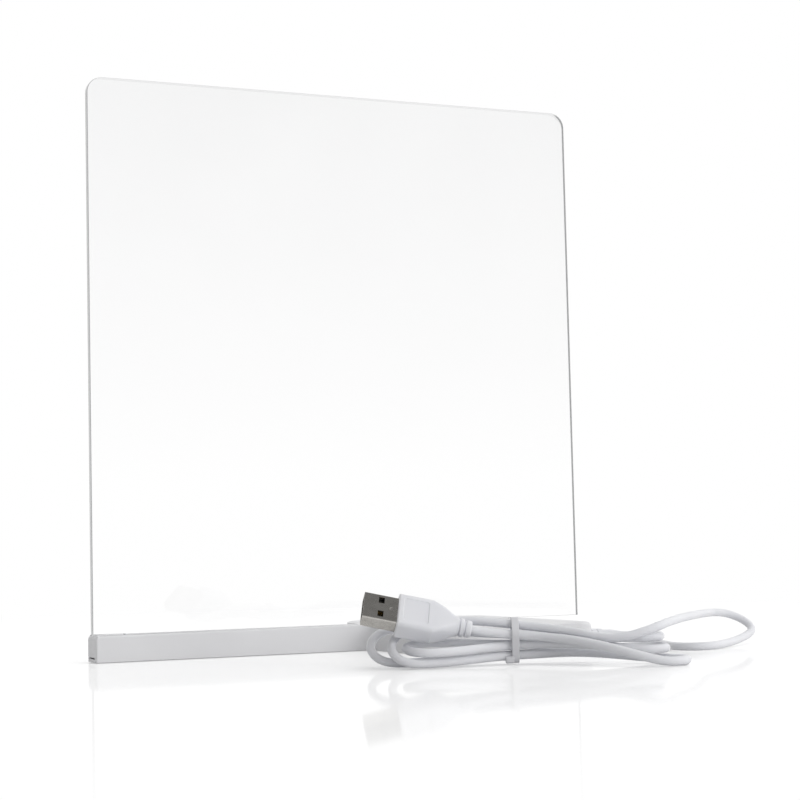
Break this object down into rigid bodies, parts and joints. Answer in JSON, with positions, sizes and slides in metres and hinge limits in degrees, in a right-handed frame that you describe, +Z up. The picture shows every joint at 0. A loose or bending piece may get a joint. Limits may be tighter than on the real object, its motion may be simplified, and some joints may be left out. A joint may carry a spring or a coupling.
{
  "type": "led writing board",
  "caption": "clear upright writing plate that stands in the slot of a lit white base, with a USB lead tied in a hank",
  "frame": {"origin": "on the table, below the middle of the base and plate", "axes": "+Z up; +X to the right along the plate; +Y from the viewer to the back; the plate is upright in the XZ plane"},
  "size_m": [0.2377, 0.205, 0.2148],
  "materials": {
    "writing_plate": "clear polished plate with a faint cool tint",
    "base_shell": "white moulded plastic with a soft sheen",
    "bottom_cover": "white matt plastic",
    "pad": "soft grey pad",
    "screw": "plain steel",
    "led_board": "white board",
    "led": "yellow phosphor block",
    "resistor": "black block",
    "lead_red": "red wire covering",
    "lead_black": "black wire covering",
    "cord": "white soft cord covering",
    "plug_overmould": "white soft moulding",
    "plug_shell": "bright plated steel",
    "plug_tongue": "black insulator",
    "plug_contact": "gold-coloured contact",
    "tie": "white plastic tie"
  },
  "bodies": {
    "base": {"base_shell": "base_shell", "bottom_cover": "bottom_cover", "pad_1": "pad", "pad_2": "pad", "pad_3": "pad", "pad_4": "pad", "screw_1": "screw", "screw_2": "screw", "screw_3": "screw", "screw_4": "screw", "screw_5": "screw", "led_board": "led_board", "led_1": "led", "led_2": "led", "led_3": "led", "led_4": "led", "led_5": "led", "led_6": "led", "led_7": "led", "led_8": "led", "led_9": "led", "led_10": "led", "resistor_1": "resistor", "resistor_2": "resistor", "lead_red": "lead_red", "lead_black": "lead_black", "strain_relief": "cord", "cord": "cord", "cord_hank": "cord", "tie": "tie", "plug_overmould": "plug_overmould", "plug_shell": "plug_shell", "plug_tongue": "plug_tongue", "plug_contact_1": "plug_contact", "plug_contact_2": "plug_contact", "plug_contact_3": "plug_contact", "plug_contact_4": "plug_contact"},
    "plate": {"writing_plate": "writing_plate"}
  },
  "joints": [
    {"name": "plate_lift", "type": "slide", "parent": "base", "child": "plate", "axis": [0, 0, 1], "range_m": [0, 0.0055]}
  ]
}
